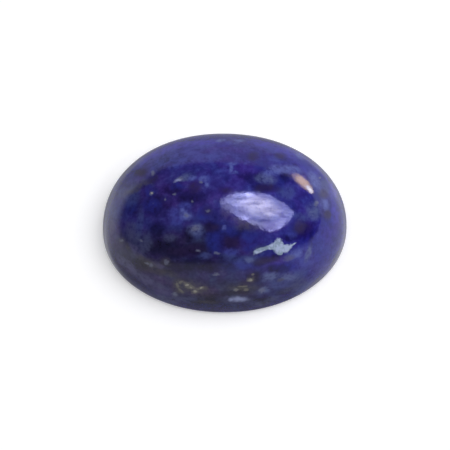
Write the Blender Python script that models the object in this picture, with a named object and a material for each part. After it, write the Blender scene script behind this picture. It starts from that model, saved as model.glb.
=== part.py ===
"""Polished oval cabochon of lapis lazuli: a high, smooth dome over a flat ground base.

Metres, +Z up. The origin is the middle of the flat base, +X runs along the oval's
length, and the stone rests on the base.
"""
import math

import bmesh
import bpy

# Driving dimensions of the cut
LENGTH = 0.016
WIDTH = 0.012
DOME_RISE = 0.0061
GIRDLE_HEIGHT = 0.0004
BASE_BEVEL = 0.00035

# Fullness of the curves: 2 is a true ellipse, and a higher value is squarer
OUTLINE_FULLNESS = 2.07
DOME_FULLNESS = 2.15

# The bevel under the girdle leaves the base at this angle and rolls up to vertical
BEVEL_START = math.radians(35)

# Grinding by hand leaves the oval slightly off true.
# Each row is the waves round the outline, their depth, and the angle of the first crest.
HAND_GROUND_WAVES = (
    (3, 0.000020, math.radians(2)),
    (4, 0.000017, math.radians(27)),
    (5, 0.000015, math.radians(-13)),
)

# Facets of the solid: points round the girdle, and rings up each curve
GIRDLE_POINTS = 80
DOME_RINGS = 24
BEVEL_RINGS = 2

# Polished lapis: deep violet blue, not metallic, nearly mirror smooth
STONE_COLOUR = (0.030, 0.022, 0.165, 1.0)
STONE_ROUGHNESS = 0.12


def clear_scene():
    """Remove every object that the file opened with"""
    for thing in list(bpy.data.objects):
        bpy.data.objects.remove(thing, do_unlink=True)


def full_curve(value, fullness):
    """A cosine or sine, bent from a circle's towards a squarer curve's"""
    return math.copysign(abs(value) ** (2 / fullness), value)


def outline_point(angle, inset):
    """Point of the hand-ground oval, moved inwards by an inset along both half axes"""
    wave = sum(depth * math.cos(count * (angle - crest)) for count, depth, crest in HAND_GROUND_WAVES)
    off_true = 1 + wave / (LENGTH / 2)
    x = (LENGTH / 2 - inset) * full_curve(math.cos(angle), OUTLINE_FULLNESS) * off_true
    y = (WIDTH / 2 - inset) * full_curve(math.sin(angle), OUTLINE_FULLNESS) * off_true
    return x, y


def ring(mesh, height, inset=0.0, scale=1.0):
    """A level ring of vertices, with its points halved as it narrows so that facets stay even"""
    points = GIRDLE_POINTS
    while scale < 0.5 * points / GIRDLE_POINTS:
        points //= 2
    vertices = []
    for step in range(points):
        x, y = outline_point(2 * math.pi * step / points, inset)
        vertices.append(mesh.verts.new((x * scale, y * scale, height)))
    return vertices


def bevel_rings(mesh):
    """Rings from the edge of the flat base up to just under the girdle"""
    rings = []
    for step in range(BEVEL_RINGS):
        roll = BEVEL_START + (math.pi / 2 - BEVEL_START) * step / BEVEL_RINGS
        inset = BASE_BEVEL * (1 - math.sin(roll)) / (1 - math.sin(BEVEL_START))
        height = GIRDLE_HEIGHT * (1 - math.cos(roll) / math.cos(BEVEL_START))
        rings.append(ring(mesh, height, inset=inset))
    return rings


def dome_rings(mesh):
    """Rings from the girdle up to just under the crown"""
    rings = []
    for step in range(DOME_RINGS):
        climb = math.pi / 2 * step / DOME_RINGS
        height = GIRDLE_HEIGHT + DOME_RISE * full_curve(math.sin(climb), DOME_FULLNESS)
        rings.append(ring(mesh, height, scale=full_curve(math.cos(climb), DOME_FULLNESS)))
    return rings


def bridge(mesh, lower, upper):
    """Band of faces between a ring and the next one up, which has as many points or half"""
    ratio = len(lower) // len(upper)
    for step in range(len(upper)):
        after = (step + 1) % len(upper)
        near = lower[step * ratio]
        far = lower[after * ratio]
        if ratio == 1:
            mesh.faces.new((near, far, upper[after], upper[step]))
        else:
            middle = lower[step * ratio + 1]
            mesh.faces.new((near, middle, upper[step]))
            mesh.faces.new((middle, upper[after], upper[step]))
            mesh.faces.new((middle, far, upper[after]))


def cap_base(mesh, edge):
    """The flat ground base, one face looking down"""
    mesh.faces.new(list(reversed(edge)))


def cap_crown(mesh, edge):
    """Facets from the last ring to the top of the dome"""
    crown = mesh.verts.new((0, 0, GIRDLE_HEIGHT + DOME_RISE))
    for near, far in zip(edge, edge[1:] + edge[:1]):
        mesh.faces.new((near, far, crown))


def polished_stone():
    """The material of the whole stone"""
    material = bpy.data.materials.new("polished_lapis")
    material.use_nodes = True
    shader = material.node_tree.nodes["Principled BSDF"]
    shader.inputs["Base Color"].default_value = STONE_COLOUR
    shader.inputs["Roughness"].default_value = STONE_ROUGHNESS
    shader.inputs["Metallic"].default_value = 0.0
    return material


def make_cabochon():
    """The stone, one closed solid"""
    shape = bmesh.new()
    rings = bevel_rings(shape) + dome_rings(shape)
    for lower, upper in zip(rings, rings[1:]):
        bridge(shape, lower, upper)
    cap_base(shape, rings[0])
    cap_crown(shape, rings[-1])
    data = bpy.data.meshes.new("cabochon")
    shape.to_mesh(data)
    shape.free()
    data.shade_smooth()
    data.set_sharp_from_angle(angle=math.radians(30))
    data.materials.append(polished_stone())
    stone = bpy.data.objects.new("cabochon", data)
    bpy.context.scene.collection.objects.link(stone)
    return stone


clear_scene()
make_cabochon()
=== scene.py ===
import math

import bmesh
import bpy
from mathutils import Matrix, Vector, noise


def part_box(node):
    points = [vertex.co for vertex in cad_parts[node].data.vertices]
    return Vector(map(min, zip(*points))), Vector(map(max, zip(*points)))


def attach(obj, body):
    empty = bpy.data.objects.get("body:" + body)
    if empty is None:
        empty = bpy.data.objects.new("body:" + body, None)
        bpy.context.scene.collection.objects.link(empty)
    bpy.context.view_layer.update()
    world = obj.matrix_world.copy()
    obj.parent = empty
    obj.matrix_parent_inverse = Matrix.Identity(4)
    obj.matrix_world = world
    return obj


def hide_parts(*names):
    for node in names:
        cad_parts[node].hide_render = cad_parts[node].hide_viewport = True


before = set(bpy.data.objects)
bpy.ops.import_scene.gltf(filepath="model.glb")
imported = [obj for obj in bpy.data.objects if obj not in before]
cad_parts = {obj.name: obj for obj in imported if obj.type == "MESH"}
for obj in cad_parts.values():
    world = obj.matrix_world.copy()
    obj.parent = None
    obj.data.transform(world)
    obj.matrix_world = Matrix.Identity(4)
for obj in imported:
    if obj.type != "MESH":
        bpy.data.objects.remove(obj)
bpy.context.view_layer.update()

MM = 0.001

# The cut of the stone
stone_low, stone_high = (Vector(corner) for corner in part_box("cabochon"))
HALF_LENGTH = (stone_high.x - stone_low.x) / 2
HALF_WIDTH = (stone_high.y - stone_low.y) / 2
GIRDLE_HEIGHT = 0.4 * MM
DOME_RISE = stone_high.z - GIRDLE_HEIGHT
BASE_BEVEL = 0.35 * MM
OUTLINE_FULLNESS = 2.07
DOME_FULLNESS = 2.15
BEVEL_START = math.radians(35)

# Hand grinding: waves round the outline, their depth, and the angle of the first crest
HAND_GROUND_WAVES = (
    (3, 0.020 * MM, math.radians(2)),
    (4, 0.017 * MM, math.radians(27)),
    (5, 0.015 * MM, math.radians(-13)),
)

# Fineness of the polished surface
GIRDLE_POINTS = 512
DOME_RINGS = 150
BEVEL_RINGS = 8
POLISH_WAVE_SIZE = 1.6 * MM
POLISH_WAVE_DEPTH = 0.004 * MM

# The stone's clouding, as sizes in mm from broadest to finest, and its wandering outlines
LUMP_SIZE = 2.6
CLOUD_SIZE = 0.8
MOTTLE_SIZE = 0.36
FINE_SIZE = 0.16
WANDER = 0.4
SHIVER = 0.10

# The photograph's frame, and where the camera stands
FRAME_PIXELS = 450
CAMERA_DISTANCE = 280 * MM
CAMERA_ELEVATION = math.radians(68)
CAMERA_ROLL = math.radians(-0.436)
PIXELS_PER_MM = 15.39
AIM_PIXEL = (224.3, 210.05)
SENSOR_WIDTH = 36.0


def set_stops(ramp, stops):
    """Colours along a ramp; each stop is a place from 0 to 1 and a colour"""
    while len(ramp.elements) > 1:
        ramp.elements.remove(ramp.elements[-1])
    ramp.elements[0].position, ramp.elements[0].color = stops[0]
    for position, colour in stops[1:]:
        ramp.elements.new(position).color = colour


class Wire:
    """A shader node's output. Arithmetic on wires adds Math nodes."""

    def __init__(self, tree, output=None):
        self.tree = tree
        self.output = output

    def node(self, kind, settings=None, inputs=None, output=0):
        """A new node: its settings are set first, then the value or wire of each input"""
        made = self.tree.nodes.new(kind)
        for name, value in (settings or {}).items():
            if name == "stops":
                set_stops(made.color_ramp, value)
            else:
                setattr(made, name, value)
        for key, value in (inputs or {}).items():
            if isinstance(value, Wire):
                self.tree.links.new(value.output, made.inputs[key])
            else:
                made.inputs[key].default_value = value
        return Wire(self.tree, made.outputs[output])

    def maths(self, operation, *values):
        return self.node("ShaderNodeMath", {"operation": operation}, dict(enumerate(values)))

    def __add__(self, other):
        return self.maths("ADD", self, other)

    def __radd__(self, other):
        return self.maths("ADD", other, self)

    def __sub__(self, other):
        return self.maths("SUBTRACT", self, other)

    def __rsub__(self, other):
        return self.maths("SUBTRACT", other, self)

    def __mul__(self, other):
        return self.maths("MULTIPLY", self, other)

    def __rmul__(self, other):
        return self.maths("MULTIPLY", other, self)

    def __truediv__(self, other):
        return self.maths("DIVIDE", self, other)

    def root(self):
        return self.maths("SQRT", self)

    def larger(self, other):
        return self.maths("MAXIMUM", self, other)

    def smaller(self, other):
        return self.maths("MINIMUM", self, other)

    def vector(self, operation, *values):
        """Vector Math between this vector and others; a wire or plain values each"""
        inputs = dict(enumerate((self,) + values))
        return self.node("ShaderNodeVectorMath", {"operation": operation}, inputs)

    def scaled(self, factor):
        return self.node("ShaderNodeVectorMath", {"operation": "SCALE"}, {0: self, 3: factor})

    def grain(self, size, detail=2.0, output=0):
        """Noise about 0.5 at these places; size is that of its lumps"""
        inputs = {"Vector": self, "Scale": 1 / size, "Detail": detail, "Roughness": 0.55}
        return self.node("ShaderNodeTexNoise", None, inputs, output)

    def parts(self):
        """The x, y and z of a vector"""
        split = self.node("ShaderNodeSeparateXYZ", None, {0: self}).output.node
        return [Wire(self.tree, output) for output in split.outputs]

    def blend(self, first, second):
        """The first colour where this is 0, and the second where it is 1"""
        inputs = {0: self, 6: first, 7: second}
        return self.node("ShaderNodeMix", {"data_type": "RGBA"}, inputs, 2)

    def step(self, low, high):
        """0 below low, 1 above high, and smooth between them"""
        inputs = {"Value": self, "From Min": low, "From Max": high}
        return self.node("ShaderNodeMapRange", {"interpolation_type": "SMOOTHSTEP"}, inputs)


def full_curve(value, fullness):
    """A cosine or sine, bent from a circle's towards a squarer curve's"""
    return math.copysign(abs(value) ** (2 / fullness), value)


def outline_point(angle, inset):
    """Point of the hand-ground oval, moved inwards by an inset along both half axes"""
    wave = sum(depth * math.cos(count * (angle - crest)) for count, depth, crest in HAND_GROUND_WAVES)
    off_true = 1 + wave / HALF_LENGTH
    x = (HALF_LENGTH - inset) * full_curve(math.cos(angle), OUTLINE_FULLNESS) * off_true
    y = (HALF_WIDTH - inset) * full_curve(math.sin(angle), OUTLINE_FULLNESS) * off_true
    return x, y


def ring(mesh, height, inset=0.0, scale=1.0):
    """A level ring of vertices, with its points halved as it narrows so that faces stay even"""
    points = GIRDLE_POINTS
    while scale < 0.5 * points / GIRDLE_POINTS and points > 8:
        points //= 2
    vertices = []
    for step in range(points):
        x, y = outline_point(2 * math.pi * step / points, inset)
        vertices.append(mesh.verts.new((x * scale, y * scale, height)))
    return vertices


def bevel_rings(mesh):
    """Rings from the edge of the flat base up to just under the girdle"""
    rings = []
    for step in range(BEVEL_RINGS):
        roll = BEVEL_START + (math.pi / 2 - BEVEL_START) * step / BEVEL_RINGS
        inset = BASE_BEVEL * (1 - math.sin(roll)) / (1 - math.sin(BEVEL_START))
        height = GIRDLE_HEIGHT * (1 - math.cos(roll) / math.cos(BEVEL_START))
        rings.append(ring(mesh, height, inset=inset))
    return rings


def dome_rings(mesh):
    """Rings from the girdle up to just under the crown"""
    rings = []
    for step in range(DOME_RINGS):
        climb = math.pi / 2 * step / DOME_RINGS
        height = GIRDLE_HEIGHT + DOME_RISE * full_curve(math.sin(climb), DOME_FULLNESS)
        rings.append(ring(mesh, height, scale=full_curve(math.cos(climb), DOME_FULLNESS)))
    return rings


def bridge(mesh, lower, upper):
    """Band of faces between a ring and the next one up, which has as many points or half"""
    ratio = len(lower) // len(upper)
    for step in range(len(upper)):
        after = (step + 1) % len(upper)
        near = lower[step * ratio]
        far = lower[after * ratio]
        if ratio == 1:
            mesh.faces.new((near, far, upper[after], upper[step]))
        else:
            middle = lower[step * ratio + 1]
            mesh.faces.new((near, middle, upper[step]))
            mesh.faces.new((middle, upper[after], upper[step]))
            mesh.faces.new((middle, far, upper[after]))


def hand_polish(mesh):
    """Slight waves left by polishing by hand, a few thousandths of a millimetre deep"""
    mesh.normal_update()
    for vertex in mesh.verts:
        rise = min(max(vertex.co.z / GIRDLE_HEIGHT - 1, 0), 1)
        wave = noise.noise(vertex.co / POLISH_WAVE_SIZE)
        vertex.co += vertex.normal * POLISH_WAVE_DEPTH * rise * wave


def make_stone():
    """The polished stone as one closed mesh, from its base to its crown"""
    shape = bmesh.new()
    rings = bevel_rings(shape) + dome_rings(shape)
    for lower, upper in zip(rings, rings[1:]):
        bridge(shape, lower, upper)
    shape.faces.new(list(reversed(rings[0])))
    crown = shape.verts.new((0, 0, GIRDLE_HEIGHT + DOME_RISE))
    for near, far in zip(rings[-1], rings[-1][1:] + rings[-1][:1]):
        shape.faces.new((near, far, crown))
    hand_polish(shape)
    data = bpy.data.meshes.new("polished_cabochon")
    shape.to_mesh(data)
    shape.free()
    data.shade_smooth()
    data.set_sharp_from_angle(angle=math.radians(30))
    stone = bpy.data.objects.new("polished_cabochon", data)
    bpy.context.scene.collection.objects.link(stone)
    return stone


# Marks in the stone. Each row is the pixel it shows at, its half length and half width in mm,
# and how far its length is turned from level, in degrees.
# Painted shade: blue dulled towards grey, low on the front
PAINTED_FRONT_SHADE = (
    (186, 268, 3.8, 1.7, 0), (150, 272, 2.8, 1.6, -30), (178, 250, 3.0, 1.0, 0),
    (208, 292, 3.4, 1.3, 0),
)
# Painted shade: blue dulled a little, on the left flank and low down
PAINTED_SHADE_PATCHES = (
    (148, 218, 4.2, 3.0, 0), (200, 232, 3.2, 1.4, 0), (262, 300, 3.4, 1.2, 0), (120, 245, 2.2, 2.2, 0),
)
# Purer blue
DEEP_BLUE = (
    (190, 143, 1.6, 0.4, 8), (222, 144.5, 0.5, 0.18, 0), (132, 172, 0.7, 0.4, 50),
    (117, 196, 1.2, 0.35, 82), (306, 166, 1.3, 0.35, -22), (331, 186, 0.6, 0.3, -50),
    (327, 228, 1.4, 0.5, 85), (333, 205, 0.5, 0.2, 80), (238, 266, 1.2, 0.26, 0),
    (316, 193, 0.35, 0.3, 0), (284, 267, 0.8, 0.22, -5), (323, 254, 0.6, 0.4, 60),
    (216, 243, 0.5, 0.6, 0), (276, 160, 0.6, 0.3, -10), (312, 238, 0.8, 0.6, 0),
)
# Blue that is nearly black
NIGHT = (
    (192, 198, 0.7, 0.4, 0), (172, 190, 0.5, 0.3, 0), (252, 178, 0.6, 0.3, -5), (188, 236, 0.3, 0.4, 0),
    (184, 267, 1.6, 0.34, 3), (207, 266, 1.0, 0.3, 0), (208, 299, 1.0, 0.26, 0),
    (232, 294, 0.7, 0.12, 0), (263, 261.5, 0.55, 0.2, 5), (275, 258, 0.3, 0.18, 5),
    (231, 242, 0.5, 0.36, 0), (211, 227.5, 0.5, 0.28, 0), (262, 188, 0.5, 0.24, -8),
    (285, 177, 0.3, 0.3, 0), (161, 247, 0.8, 0.4, 0), (178, 251, 0.8, 0.34, 0), (195, 249, 0.8, 0.3, 0),
    (136, 206, 0.6, 0.5, 0), (141, 172, 0.36, 0.2, 10), (156, 205, 0.8, 0.6, 0),
    (304, 230, 0.7, 0.5, 0), (291, 238, 0.4, 0.2, 0), (252, 277, 0.36, 0.22, 0),
    (241, 291, 0.36, 0.28, 0), (260, 300, 0.6, 0.22, 0), (278, 269, 0.6, 0.2, 0),
    (140, 263, 0.5, 0.3, -30), (157, 228, 0.4, 0.4, 0), (194, 266, 0.8, 0.3, 0),
    (238, 235, 0.4, 0.2, 60), (164, 160, 0.5, 0.16, 35), (284, 292, 0.4, 0.14, 15),
)
# Bright blue clouds
BRIGHT_BLUE = (
    (160, 163, 0.6, 0.24, 30), (174, 157, 0.5, 0.3, 0), (309, 171, 0.5, 0.2, -40),
    (275, 160, 0.4, 0.2, 0), (300, 157, 0.5, 0.2, -38), (317, 171, 0.5, 0.16, -48),
    (330, 190, 0.5, 0.2, -60), (284, 148, 0.4, 0.14, -25), (200, 157, 0.4, 0.24, 0),
    (175, 166, 0.4, 0.14, 10), (231, 252, 0.4, 0.2, 0), (265, 146.5, 0.6, 0.2, -14),
    (276, 150, 0.4, 0.2, -20), (292, 153, 0.5, 0.3, -38), (190, 155, 0.6, 0.34, 10),
    (184, 160, 0.5, 0.22, 0), (191, 151, 0.3, 0.16, 0), (156, 156, 0.6, 0.2, 36),
    (141, 161.5, 0.44, 0.2, 42), (232, 163, 0.36, 0.13, 8), (230.5, 168, 0.14, 0.26, 0),
    (235, 173, 0.22, 0.11, 0), (204, 179, 0.3, 0.34, 20), (174, 212, 0.3, 0.24, 20),
    (178, 220, 0.36, 0.26, 20), (288, 192, 0.44, 0.36, -10), (305, 262, 0.4, 0.4, 30),
    (244, 264, 0.4, 0.22, 0), (292, 232, 0.24, 0.3, 0), (193, 177, 0.24, 0.18, 10),
    (168, 151, 0.5, 0.2, 25), (296, 254, 0.5, 0.3, 20), (302, 160, 0.4, 0.24, -35),
    (222, 170, 0.4, 0.1, 10), (212, 157, 0.5, 0.2, 0), (204, 146, 0.5, 0.16, 8),
    (185, 206, 0.3, 0.2, 0),
)
# Rich, deep blue clouds
ROYAL = (
    (215, 242, 0.4, 0.6, 0), (250, 238, 0.5, 0.5, 0), (232, 230, 0.4, 0.3, 0), (152, 206, 0.5, 0.4, 0),
    (150, 192, 0.3, 0.3, 0), (251, 248, 0.4, 0.24, 0), (131, 207, 0.4, 0.4, 0),
    (245, 264, 0.4, 0.24, 0), (280, 184, 0.2, 0.34, 0), (262, 166, 0.4, 0.34, 0),
    (306, 163, 0.6, 0.26, -35), (316, 194, 0.2, 0.3, 0), (203, 214, 0.3, 0.3, 0),
    (222, 228, 0.2, 0.3, 0), (322, 180, 0.3, 0.5, 30), (178, 186, 0.3, 0.2, 0), (292, 225, 0.3, 0.4, 0),
)
# Violet-blue clouds, mostly near the far rim
VIOLET = (
    (300, 157, 1.0, 0.26, -36), (318, 173, 0.7, 0.22, -48), (288, 153, 0.8, 0.26, -26),
    (306, 164, 0.6, 0.3, -36), (165, 150, 0.8, 0.2, 26), (180, 145, 0.7, 0.16, 14),
    (150, 156, 0.6, 0.2, 36), (265, 144, 0.8, 0.18, -12), (205, 142, 0.8, 0.16, 4),
    (332, 190, 0.5, 0.2, -58), (335, 212, 0.6, 0.2, -84),
)
# The palest blue clouds
SKY = (
    (203, 178.5, 0.2, 0.16, 0), (207, 184, 0.1, 0.16, 0), (230.5, 168, 0.1, 0.22, 0),
    (235, 173, 0.16, 0.08, 0), (192, 177, 0.2, 0.1, 10), (315, 181, 0.24, 0.5, 24),
    (290, 170, 0.60, 0.20, -4), (275, 170.5, 0.5, 0.24, 14), (267, 174, 0.3, 0.2, 30),
    (185.5, 215.5, 0.28, 0.24, 0), (183, 210.5, 0.12, 0.12, 0), (324, 203.5, 0.18, 0.3, 25),
    (296, 253.5, 0.3, 0.2, 20), (224, 227.5, 0.12, 0.13, 0), (220.5, 140, 0.2, 0.08, 0),
    (239, 141, 0.26, 0.08, 0), (232, 163, 0.2, 0.07, 8), (299, 156, 0.24, 0.14, -40),
)
# Clouds of pale greenish blue
TEAL = (
    (269, 180, 0.36, 0.24, 5), (262, 178, 0.34, 0.24, -10), (314, 211.5, 0.36, 0.38, 0),
    (315.5, 205, 0.14, 0.26, 0), (196, 229.5, 0.42, 0.3, 0), (182, 178, 0.36, 0.14, 20),
    (270, 277, 0.44, 0.2, 10), (288, 277, 0.5, 0.18, 0), (308.5, 254, 0.14, 0.44, -20),
    (250, 259, 0.26, 0.14, 4), (289, 257.5, 0.26, 0.14, 15), (264, 290, 0.3, 0.12, 15),
)
# Fainter clouds of greenish blue
DIM_TEAL = (
    (286, 192, 0.4, 0.3, 0), (248, 259, 0.6, 0.2, 4), (299, 274, 0.4, 0.28, 30),
    (304, 286, 0.5, 0.24, 30), (299, 291, 0.4, 0.2, 30), (230, 258, 0.4, 0.2, 0),
    (131, 197, 0.5, 0.44, 30), (121, 193, 0.3, 0.3, 0), (114, 215, 0.2, 0.46, 0),
    (197, 235, 0.2, 0.2, 0), (325, 185, 0.2, 0.34, 20), (269, 289, 0.6, 0.16, 20),
    (282, 284, 0.8, 0.24, 10), (140, 222, 0.18, 0.7, -6), (188, 176, 0.3, 0.18, 15),
    (302, 217, 0.4, 0.2, -10), (204, 256, 0.3, 0.14, 0),
)
# Grey-blue haze in the stone, and painted reflection of the pale floor along the front rim
HAZE_AND_RIM_REFLECTION = (
    (298, 284, 0.5, 0.3, 30), (287, 290, 0.5, 0.14, 20), (271, 300, 0.4, 0.2, 15),
    (134, 238, 0.5, 0.5, 0), (139, 250, 0.5, 0.46, 0), (131, 229, 0.3, 0.36, 0),
    (146, 242, 0.3, 0.5, 0), (124, 262, 0.5, 0.16, -42), (137, 272, 0.6, 0.17, -40),
    (149, 281, 0.6, 0.22, -32), (181, 299, 1.0, 0.18, 0), (170, 237.5, 0.3, 0.2, 5),
    (175, 294.5, 0.2, 0.14, 0), (237, 299.5, 0.9, 0.22, -4), (158, 285, 0.5, 0.2, -20),
    (258, 303.5, 0.4, 0.14, 5), (258, 250, 0.4, 0.2, 25), (138, 186, 0.8, 0.2, 30),
    (166, 299, 0.6, 0.16, -12),
)
# Blue turned a little redder
LILAC = (
    (200, 192, 1.8, 1.0, 0), (113, 230, 0.3, 0.9, 0), (250, 168, 1.4, 0.8, 0),
    (228, 212, 0.6, 0.4, -25), (270, 227, 0.8, 0.3, 0), (218, 178, 0.3, 0.2, 0),
    (305, 228, 0.8, 0.7, 0), (233, 242, 0.8, 0.4, 0), (205, 291, 0.9, 0.3, 0), (335, 226, 0.3, 0.3, 0),
    (247, 249, 0.6, 0.3, 0), (150, 178, 0.8, 0.4, 0), (225, 150, 3.0, 0.7, 0),
    (300, 170, 0.8, 0.5, -35), (330, 236, 0.7, 0.4, 80), (165, 200, 1.6, 1.0, 0),
    (270, 262, 0.8, 0.3, 0), (150, 278, 1.6, 0.5, -30), (240, 222, 0.5, 0.3, 0),
)
# Greyish purple clouds
MAUVE = (
    (121, 260, 0.34, 0.16, -48), (131, 268, 0.5, 0.18, -42), (145, 279.5, 0.6, 0.2, -36),
    (112, 226, 0.16, 0.4, 0), (161, 290, 0.5, 0.16, -22), (241, 221, 0.5, 0.14, -20),
    (251, 222, 0.3, 0.12, 0), (289, 258, 0.3, 0.14, 15), (300, 226, 0.3, 0.3, 0),
    (136, 251, 0.5, 0.14, -50), (227, 210, 0.3, 0.4, 0), (160, 266, 0.5, 0.12, -20),
)
# Brownish grey patches
BROWN = (
    (139, 187, 0.8, 0.16, 30), (128, 247, 0.4, 0.12, -55), (142, 259, 0.4, 0.14, -40),
    (160, 272, 1.0, 0.2, -15), (192, 287, 1.0, 0.4, -20), (179, 288, 0.4, 0.5, 20),
    (243, 288, 0.8, 0.3, 0), (249, 226, 0.7, 0.26, 0), (150, 264, 0.6, 0.24, -15),
    (206, 302, 0.6, 0.1, 0), (323, 194, 0.3, 0.24, 0), (166, 261, 0.3, 0.24, 0),
    (327, 214, 0.2, 0.26, 0), (336, 262, 0.2, 0.8, -28), (320, 280, 0.7, 0.16, 38),
    (281, 280, 0.2, 0.1, 0), (122, 241, 0.24, 0.2, 0),
)
# Dark patches of purplish brown
PLUM = (
    (281, 156, 0.32, 0.24, 0), (253, 156, 0.3, 0.24, 0), (270, 187.5, 0.44, 0.22, -5),
    (260, 188, 0.3, 0.16, 0), (212, 227.5, 0.5, 0.22, 0), (198, 248, 0.5, 0.22, 0),
    (153, 179.5, 0.26, 0.26, 0), (140, 172.5, 0.4, 0.14, 20), (208, 211, 0.26, 0.2, 0),
    (231, 242.5, 0.4, 0.3, 0), (253, 277, 0.3, 0.3, 0), (246, 282, 0.24, 0.16, 0),
    (183, 280, 0.3, 0.1, 0), (241, 291.5, 0.24, 0.16, 0), (176, 252, 0.7, 0.2, 0),
    (226, 190, 0.3, 0.16, 0), (195, 186, 0.3, 0.3, 0), (328, 214, 0.14, 0.2, 0),
    (265, 260, 0.5, 0.18, 5), (301, 228, 0.5, 0.3, 0),
)
# Greyish stone round the pyrite
GOLDEN = (
    (179, 286.5, 0.3, 0.4, 20), (190, 286.5, 0.5, 0.2, -28), (198, 290, 0.26, 0.16, 10),
    (242, 288.5, 0.5, 0.14, 0), (250, 279.5, 0.2, 0.14, 0), (148.5, 263.5, 0.26, 0.08, -25),
    (205, 288, 0.16, 0.1, 0),
)
# Small pale grains
PALE_SPOTS = (
    (180, 179, 0.2, 0.1, 24), (217, 253.7, 0.17, 0.09, 0), (216, 274.7, 0.19, 0.10, 0),
    (152.5, 193.5, 0.13, 0.1, 0), (167, 262, 0.14, 0.15, 0), (151.5, 265, 0.13, 0.08, 0),
    (175, 294.3, 0.17, 0.12, 0), (236, 290, 0.16, 0.12, 0), (197.6, 251, 0.11, 0.08, 0),
    (208, 210.5, 0.12, 0.08, 0), (262, 290.5, 0.2, 0.09, 15), (153, 173.5, 0.1, 0.12, 0),
    (141, 240, 0.12, 0.09, 0), (174.5, 194.5, 0.11, 0.07, 0), (192.5, 201.5, 0.09, 0.08, 0),
    (201, 182, 0.1, 0.09, 0), (194.5, 228.5, 0.24, 0.18, 0), (316, 205, 0.12, 0.2, 0),
    (319.7, 177.5, 0.1, 0.08, 0), (122, 241, 0.12, 0.09, 0), (186, 215, 0.16, 0.13, 0),
    (165, 199, 0.08, 0.06, 0), (316.5, 203, 0.1, 0.12, 0), (147, 263, 0.14, 0.06, -20),
)
# Painted highlights: the brightest glints of the pyrite
PYRITE_PAINTED_GLINTS = (
    (152.5, 193.5, 0.05, 0.04, 0), (194.8, 291.8, 0.09, 0.06, 10), (249.7, 280, 0.09, 0.06, 5),
    (186.5, 284.5, 0.07, 0.04, -20), (191, 287.3, 0.06, 0.03, -30), (202, 288, 0.07, 0.04, 10),
)
# White calcite: a winged patch made of rows that run together
CALCITE = (
    (257.5, 251.2, 0.31, 0.13, 27), (267, 248.2, 0.42, 0.10, 15), (276.5, 245.8, 0.40, 0.15, 2),
    (278.5, 242.0, 0.20, 0.22, 0), (280, 250.0, 0.38, 0.20, -5), (279.7, 253.4, 0.12, 0.09, 0),
    (288, 247.5, 0.25, 0.15, 24), (294, 244, 0.16, 0.04, 30),
)
# Milky blue-white streaks
MILKY = (
    (238.5, 299.4, 0.42, 0.13, -2), (231, 299.6, 0.16, 0.1, 0), (178, 180.6, 0.2, 0.07, 24),
)
# Pyrite threads and grains
PYRITE = (
    (186.5, 284.7, 0.22, 0.14, -35), (191.8, 287.5, 0.24, 0.11, -32), (195, 291.8, 0.20, 0.12, 10),
    (202, 288, 0.17, 0.10, 10), (177.3, 285, 0.08, 0.18, 15), (180.5, 290.3, 0.2, 0.08, -42),
    (249.7, 280, 0.15, 0.11, 5), (253, 274.5, 0.08, 0.06, 30), (246, 290, 0.14, 0.08, 0),
    (181, 282, 0.14, 0.06, 20), (243, 286.3, 0.3, 0.03, 2), (197.5, 289, 0.11, 0.07, 0),
    (236, 290, 0.12, 0.08, 0),
)

# Colours of the stone, as red, green, blue and opacity
LAPIS_TONES = (
    (0.0, (0.006, 0.004, 0.07, 1)), (0.25, (0.014, 0.011, 0.145, 1)), (0.45, (0.026, 0.023, 0.215, 1)),
    (0.65, (0.039, 0.045, 0.28, 1)), (0.82, (0.062, 0.080, 0.34, 1)), (1.0, (0.105, 0.135, 0.42, 1)),
)
HUE_FACTORS = ((1.12, 0.90, 1.0, 1), (0.90, 1.08, 1.0, 1))
DIM_TEAL_COLOUR = (0.046, 0.062, 0.21, 1)
GRAIN_COLOUR = (0.130, 0.140, 0.225, 1)
PYRITE_COLOUR = (0.22, 0.208, 0.195, 1)
# Painted highlight colour for the pyrite's glints
PAINTED_GLINT_COLOUR = (0.38, 0.36, 0.32, 1)
CALCITE_COLOURS = ((0.23, 0.30, 0.40, 1), (0.40, 0.47, 0.68, 1))
MILKY_COLOUR = (0.25, 0.28, 0.50, 1)
GROUND_BASE_COLOUR = (0.10, 0.10, 0.22, 1)

# Clouds from the first laid to the last: their marks, how fully they cover, and their colour
CLOUD_COLOURS = (
    (BRIGHT_BLUE, 0.7, (0.048, 0.058, 0.31, 1)), (VIOLET, 0.7, (0.052, 0.038, 0.42, 1)),
    (ROYAL, 0.75, (0.016, 0.022, 0.205, 1)), (DIM_TEAL, 0.7, DIM_TEAL_COLOUR),
    # The haze marks are partly painted reflection of the floor along the front rim
    (HAZE_AND_RIM_REFLECTION, 0.7, (0.055, 0.062, 0.145, 1)), (SKY, 0.95, (0.090, 0.112, 0.38, 1)),
    (TEAL, 0.9, (0.084, 0.106, 0.255, 1)), (MAUVE, 0.7, (0.075, 0.066, 0.175, 1)),
    (BROWN, 0.55, (0.056, 0.050, 0.050, 1)), (PLUM, 0.75, (0.020, 0.012, 0.055, 1)),
    (GOLDEN, 0.7, (0.066, 0.064, 0.070, 1)),
)


def camera_axes():
    """Unit vectors to the right, up and back from the camera's view"""
    right = Vector((1, 0, 0))
    up = Vector((0, math.sin(CAMERA_ELEVATION), math.cos(CAMERA_ELEVATION)))
    back = Vector((0, -math.cos(CAMERA_ELEVATION), math.sin(CAMERA_ELEVATION)))
    return right, up, back


def surface_point(camera, x, y):
    """Point of the stone that shows at a pixel"""
    half = FRAME_PIXELS / 2
    step = SENSOR_WIDTH / camera.data.lens / FRAME_PIXELS
    ray = camera.matrix_world.to_3x3() @ Vector(((x - half) * step, (half - y) * step, -1))
    found, point, normal, face = stone.ray_cast(camera.matrix_world.translation, ray)
    if not found:
        raise ValueError("no stone at pixel %s, %s" % (x, y))
    return point


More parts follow.
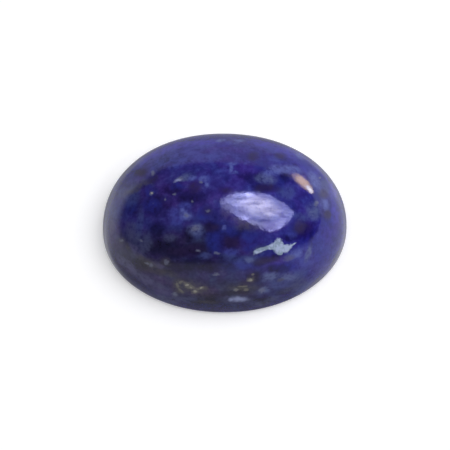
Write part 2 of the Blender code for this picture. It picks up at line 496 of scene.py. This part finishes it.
def cover(place, camera, marks, joined="MAXIMUM"):
    """Where marks lie: 1 in their middles, 0.5 at their edges and 0 at twice their size"""
    axes = Matrix(camera_axes()).transposed()
    total = None
    for x, y, half_length, half_width, turn in marks:
        lie = axes @ Matrix.Rotation(math.radians(turn), 3, "Z")
        inputs = {
            "Vector": place,
            "Location": surface_point(camera, x, y) / MM,
            "Rotation": lie.to_euler(),
            "Scale": (2 * half_length, 2 * half_width, 4 * max(half_length, half_width)),
        }
        local = place.node("ShaderNodeMapping", {"vector_type": "TEXTURE"}, inputs)
        mark = local.node("ShaderNodeTexGradient", {"gradient_type": "SPHERICAL"}, {"Vector": local}, 1)
        total = mark if total is None else total.maths(joined, total, mark)
    return total


def tint(colour, amount, factor):
    """Colour multiplied by a factor for red, green and blue, in part"""
    return amount.blend(colour, colour.vector("MULTIPLY", factor))


def unseen_side(place, drifted, colour):
    """More clouds and specks low on the back, which the photograph doesn't show"""
    x, y, z = place.parts()
    behind = (0.41 * y - z).step(-0.6, 0.4)
    clouds = place.vector("ADD", (1.0, 6.0, 3.0)).grain(1.4, 5.0).step(0.50, 0.66)
    colour = (behind * clouds * 0.7).blend(colour, DIM_TEAL_COLOUR)
    cells = drifted.node("ShaderNodeTexVoronoi", None, {"Vector": drifted, "Scale": 1.1})
    uneven = 0.5 * (place.grain(0.2) - 0.5) + 0.3 * (place.grain(1.5) - 0.5)
    specks = behind * (cells + uneven).step(0.16, 0.08)
    return (specks * 0.8).blend(colour, PYRITE_COLOUR)


def lapis_ground(place, clouds, mottle, fine, lilac, night):
    """The stone's blue between its marks, from its deepest tone to its palest"""
    lumps = place.grain(LUMP_SIZE, 3.0)
    hue = place.vector("ADD", (5.0, 5.0, 2.0)).grain(1.0, 4.0).step(0.38, 0.62)
    broad = 0.3 * (lumps - 0.5) + 0.5 * (clouds - 0.5)
    narrow = 0.6 * (mottle - 0.5) + 0.3 * (fine - 0.5)
    tone = 0.42 + broad + narrow + 0.04 * lilac - 0.24 * night
    colour = tone.node("ShaderNodeValToRGB", {"stops": LAPIS_TONES}, {0: tone})
    return colour.vector("MULTIPLY", hue.blend(*HUE_FACTORS))


def lapis_colours(place, drifted, camera):
    """Base colour of the stone, and where its calcite and pyrite are"""
    def patch(marks, high=0.75):
        return cover(drifted, camera, marks).step(0.0, high)

    clouds = place.vector("ADD", (7.0, 3.0, 1.0)).grain(CLOUD_SIZE, 4.0)
    mottle = place.vector("ADD", (4.0, 1.0, 8.0)).grain(MOTTLE_SIZE, 2.0)
    fine = place.vector("ADD", (2.0, 9.0, 4.0)).grain(FINE_SIZE, 2.0)
    lilac = patch(LILAC)
    night = patch(NIGHT)
    colour = lapis_ground(place, clouds, mottle, fine, lilac, night)
    # Tints: the first two are painted shade, the rest are the stone's own tones
    for amount, factor in (
        (patch(PAINTED_FRONT_SHADE), (0.9, 0.9, 0.48)), (patch(PAINTED_SHADE_PATCHES), (0.95, 0.95, 0.75)),
        (patch(DEEP_BLUE), (0.6, 0.65, 1.05)), (lilac, (1.25, 0.92, 1.0)), (night, (0.85, 0.85, 0.8)),
    ):
        colour = tint(colour, amount, factor)
    streaky = (0.75 + 2.0 * (mottle - 0.5) + 1.0 * (fine - 0.5)).smaller(1.0)
    for marks, fullness, shade in CLOUD_COLOURS:
        colour = (patch(marks) * fullness * streaky).blend(colour, shade)
    ragged = 0.7 * (fine - 0.5) + 0.5 * (mottle - 0.5)
    grains = (cover(drifted, camera, PALE_SPOTS) + ragged).step(0.15, 0.85)
    colour = (grains * 0.7).blend(colour, GRAIN_COLOUR)
    pyrite = (cover(place, camera, PYRITE) + ragged).step(0.15, 0.85)
    colour = (pyrite * 0.7).blend(colour, PYRITE_COLOUR)
    # Painted highlights: the pyrite's brightest glints, laid in as pale colour
    colour = (patch(PYRITE_PAINTED_GLINTS, 0.7) * 0.85).blend(colour, PAINTED_GLINT_COLOUR)
    broken = 0.5 * (fine - 0.5) + 0.5 * (mottle - 0.5)
    calcite = (cover(place, camera, CALCITE, "ADD") + broken).step(0.25, 0.75)
    milky = (clouds - 0.5 + mottle - 0.5).step(-0.14, 0.14)
    colour = (calcite * 0.95).blend(colour, milky.blend(*CALCITE_COLOURS))
    colour = (patch(MILKY, 0.9) * 0.9).blend(colour, MILKY_COLOUR)
    return unseen_side(place, drifted, colour), calcite, pyrite


def make_material(camera):
    """Lapis with a hand polish on the dome and a plain ground finish underneath"""
    material = bpy.data.materials.new("polished_lapis")
    material.use_nodes = True
    tree = material.node_tree
    shader = tree.nodes["Principled BSDF"]
    shader.inputs["IOR"].default_value = 1.5
    place = Wire(tree).node("ShaderNodeTexCoord", None, None, "Object").scaled(1 / MM)
    ground = place.parts()[2].step(0.10, 0.02)
    polish = place.grain(0.32, 2.0)
    scuffs = place.grain(0.7, 3.0)
    middle = (0.5, 0.5, 0.5)
    wander = place.grain(0.9, 2.0, 1).vector("SUBTRACT", middle).scaled(WANDER)
    shiver = place.grain(0.22, 2.0, 1).vector("SUBTRACT", middle).scaled(SHIVER)
    drifted = place.vector("ADD", wander).vector("ADD", shiver)
    colour, calcite, pyrite = lapis_colours(place, drifted, camera)
    colour = (ground * 0.5).blend(colour, GROUND_BASE_COLOUR)
    roughness = 0.05 + 0.06 * scuffs + 0.08 * calcite + 0.1 * pyrite
    roughness = roughness * (1 - ground) + 0.42 * ground
    relief = {"Strength": 1.0, "Distance": 0.005 * MM, "Height": polish}
    bump = polish.node("ShaderNodeBump", None, relief)
    tree.links.new(colour.output, shader.inputs["Base Color"])
    tree.links.new(roughness.output, shader.inputs["Roughness"])
    tree.links.new((0.4 * pyrite).output, shader.inputs["Metallic"])
    tree.links.new(bump.output, shader.inputs["Normal"])
    return material


def make_camera():
    """Camera above and in front of the stone, rolled and aimed as in the photograph"""
    data = bpy.data.cameras.new("camera")
    camera = bpy.data.objects.new("camera", data)
    bpy.context.scene.collection.objects.link(camera)
    right, up, back = camera_axes()
    middle = Vector((0, 0, stone_high.z / 2))
    frame_width = FRAME_PIXELS / PIXELS_PER_MM * MM
    data.sensor_width = SENSOR_WIDTH
    data.lens = SENSOR_WIDTH * CAMERA_DISTANCE / frame_width
    data.clip_start = 0.02
    data.clip_end = 5.0
    half = FRAME_PIXELS / 2
    across = (half - AIM_PIXEL[0]) / PIXELS_PER_MM * MM
    down = (half - AIM_PIXEL[1]) / PIXELS_PER_MM * MM
    aim = middle + right * across - up * down
    camera.matrix_world = (
        Matrix.Translation(aim + back * CAMERA_DISTANCE)
        @ Matrix((right, up, back)).transposed().to_4x4()
        @ Matrix.Rotation(CAMERA_ROLL, 4, "Z")
    )
    bpy.context.scene.camera = camera
    return camera


def soft_panel(name, azimuth, elevation, distance, size, turn, radiance):
    """A rectangular light that faces the stone. Azimuth 0 is behind it and 90 on its right."""
    data = bpy.data.lights.new(name, "AREA")
    data.shape = "RECTANGLE"
    data.size, data.size_y = size
    data.energy = radiance * math.pi * size[0] * size[1]
    light = bpy.data.objects.new(name, data)
    bpy.context.scene.collection.objects.link(light)
    azimuth, elevation = math.radians(azimuth), math.radians(elevation)
    towards = Vector((math.sin(azimuth), math.cos(azimuth), 0)) * math.cos(elevation)
    towards.z = math.sin(elevation)
    level = Vector((0, 0, 1)).cross(towards).normalized()
    upward = towards.cross(level)
    light.matrix_world = (
        Matrix.Translation(towards * distance)
        @ Matrix((level, upward, towards)).transposed().to_4x4()
        @ Matrix.Rotation(math.radians(turn), 4, "Z")
    )
    return light


def glow_patch(pane, centre, reach):
    """1 at a place on a light's pane, falling smoothly to 0 at its reach"""
    along = (pane[0] - centre[0]) / reach[0]
    across = (pane[1] - centre[1]) / reach[1]
    return 1 - (along * along + across * across).step(0.0, 1.0)


def shape_glow(light, design):
    """Give a light the strength and colour that a design works out from places on its pane"""
    light.data.use_nodes = True
    tree = light.data.node_tree
    pane = Wire(tree).node("ShaderNodeNewGeometry", None, None, "Parametric").parts()
    strength, colour = design(pane)
    shine = tree.nodes["Emission"]
    tree.links.new(strength.output, shine.inputs["Strength"])
    if isinstance(colour, Wire):
        tree.links.new(colour.output, shine.inputs["Color"])
    else:
        shine.inputs["Color"].default_value = colour


# Brighter spots of the window: their extra strength, and their centre and reach on its pane
WINDOW_SPOTS = (
    (4.0, (0.82, 0.46), (0.18, 0.30)), (8.0, (0.60, 0.90), (0.09, 0.08)), (6.0, (0.82, 0.22), (0.10, 0.09)),
    (8.0, (0.07, 0.90), (0.06, 0.08)), (3.6, (0.06, 0.66), (0.13, 0.32)), (2.0, (0.12, 0.26), (0.14, 0.3)),
)


def window_glow(pane):
    """An arched window, palest in its middle, behind streaky glass"""
    along, across = pane[0], pane[1]
    ragged = across.node("ShaderNodeCombineXYZ", None, {0: along * 3.0, 1: across * 2.0}).grain(0.25, 3.0)
    arch = (along - 0.5).larger(0.0) * 2.05
    side = (across - 0.49 - 0.05 * arch) * 1.96
    low = across - 0.55
    soft = 0.15 * (across - 0.6).larger(0.0)
    rim = arch * arch.root() + side * side + 0.3 * (ragged - 0.5)
    shape = 1 - rim.step(0.97 - soft, 1.05 - soft)
    shape = shape * (along - 0.3 * low * low).step(-0.01, 0.02)
    heart = glow_patch(pane, (0.54, 0.45), (0.36, 0.40))
    spots = sum(extra * glow_patch(pane, centre, reach) for extra, centre, reach in WINDOW_SPOTS)
    streak = {0: 4.2 * along + 1.4 * across, 1: 8.0 * across - 7.3 * along}
    streaks = across.node("ShaderNodeCombineXYZ", None, streak).grain(1.0, 4.0)
    strength = (4.4 + 5.8 * heart + spots) * (1.0 + 3.8 * (streaks - 0.5)).larger(0.3)
    colour = heart.blend((0.80, 0.84, 1.55, 1), (0.97, 0.95, 1.25, 1))
    return shape * strength, colour


def lamp_glow(pane):
    """A small lamp: a warm shade with its white bulb at one edge"""
    shade = glow_patch(pane, (0.50, 0.52), (0.46, 0.42))
    bulb = glow_patch(pane, (0.19, 0.44), (0.22, 0.20))
    colour = bulb.step(0.1, 0.8).blend((1.22, 0.84, 0.30, 1), (1.0, 0.95, 0.97, 1))
    return 7.0 * shade.larger(2.15 * bulb), colour


def low_surroundings(x, y, z, right_side, left_side):
    """Brightness below the skyline: dimmer under the stone's rim, brighter at both sides and low behind"""
    underfoot = z.step(-0.45, -0.8) * y.step(0.25, -0.2) * (1 - 0.6 * right_side)
    contact = z.step(-0.70, -0.88) * y.step(0.30, 0.08) * (-1.0 * x).step(0.35, 0.6)
    sides = (0.42 + 0.28 * y.step(0.3, 0.75)) * right_side
    sides = sides + (0.30 + 0.28 * y.step(0.05, 0.55)) * left_side
    pale = 0.36 * (1 - 0.3 * underfoot) + 0.13 * z.step(-0.7, -0.2) + sides * (1 - 0.75 * underfoot)
    low_behind = z.step(-0.48, -0.62) * y.step(0.38, 0.55)
    behind = low_behind * (0.34 * x.step(0.15, 0.4) + 0.22 * (-1.0 * x).step(0.2, 0.45))
    return pale * (1 - 0.45 * contact) + behind


def make_world():
    """Surroundings that the polish mirrors: dark overhead, pale low down, and palest on both sides"""
    world = bpy.data.worlds.new("surroundings")
    world.use_nodes = True
    bpy.context.scene.world = world
    tree = world.node_tree
    x, y, z = Wire(tree).node("ShaderNodeTexCoord").parts()
    level = (x * x + y * y + 0.0001).root()
    right = x / level
    back = y / level
    right_side = (right + 0.12 * back).step(0.66, 0.92)
    left_side = (0.08 * back - right).step(0.66, 0.97)
    skyline = 0.20 + 0.085 * y + 0.30 * y * y - 0.29 * x * x + 0.165 * x
    softness = 0.055 + 0.14 * left_side + 0.05 * (-1.0 * y).step(0.3, 0.6)
    overhead = ((z - skyline) / softness).step(-1.0, 1.0)
    low_light = low_surroundings(x, y, z, right_side, left_side)
    brightness = low_light * (1 - overhead) + 0.07 * overhead
    background = tree.nodes["Background"]
    background.inputs["Color"].default_value = (0.97, 0.98, 1.0, 1)
    tree.links.new(brightness.output, background.inputs["Strength"])


def make_lights():
    """Window and lamp, which only the polish shows, and soft light that only the colours and floor show"""
    window = soft_panel(
        "window", azimuth=83.2, elevation=66.5, distance=0.35, size=(0.36, 0.22), turn=49.14, radiance=1.0
    )
    lamp = soft_panel(
        "lamp", azimuth=49, elevation=14.5, distance=0.3, size=(0.12, 0.12), turn=0, radiance=1.0
    )
    for light, design in ((window, window_glow), (lamp, lamp_glow)):
        light.visible_diffuse = False
        shape_glow(light, design)
    key = soft_panel("key", azimuth=83.2, elevation=64, distance=0.8, size=(0.7, 0.7), turn=0, radiance=2.3)
    fill = soft_panel("fill", azimuth=0, elevation=90, distance=0.8, size=(1.2, 1.2), turn=0, radiance=0.95)
    for light in (key, fill):
        light.visible_glossy = False


def make_floor():
    """Pale paper under the stone, which the polish doesn't mirror"""
    data = bpy.data.meshes.new("floor")
    corners = [(-1.5, -1.5, 0), (1.5, -1.5, 0), (1.5, 1.5, 0), (-1.5, 1.5, 0)]
    data.from_pydata(corners, [], [(0, 1, 2, 3)])
    floor = bpy.data.objects.new("floor", data)
    bpy.context.scene.collection.objects.link(floor)
    material = bpy.data.materials.new("pale_paper")
    material.use_nodes = True
    shader = material.node_tree.nodes["Principled BSDF"]
    shader.inputs["Base Color"].default_value = (0.8, 0.8, 0.8, 1)
    shader.inputs["Roughness"].default_value = 0.9
    shader.inputs["Emission Color"].default_value = (1, 1, 1, 1)
    shader.inputs["Emission Strength"].default_value = 0.33
    data.materials.append(material)
    floor.visible_glossy = False


stone = make_stone()
camera = make_camera()
bpy.context.view_layer.update()
stone.data.materials.append(make_material(camera))
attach(stone, "root")
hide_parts("cabochon")
make_world()
make_floor()
make_lights()
bpy.context.scene.view_settings.view_transform = "Standard"
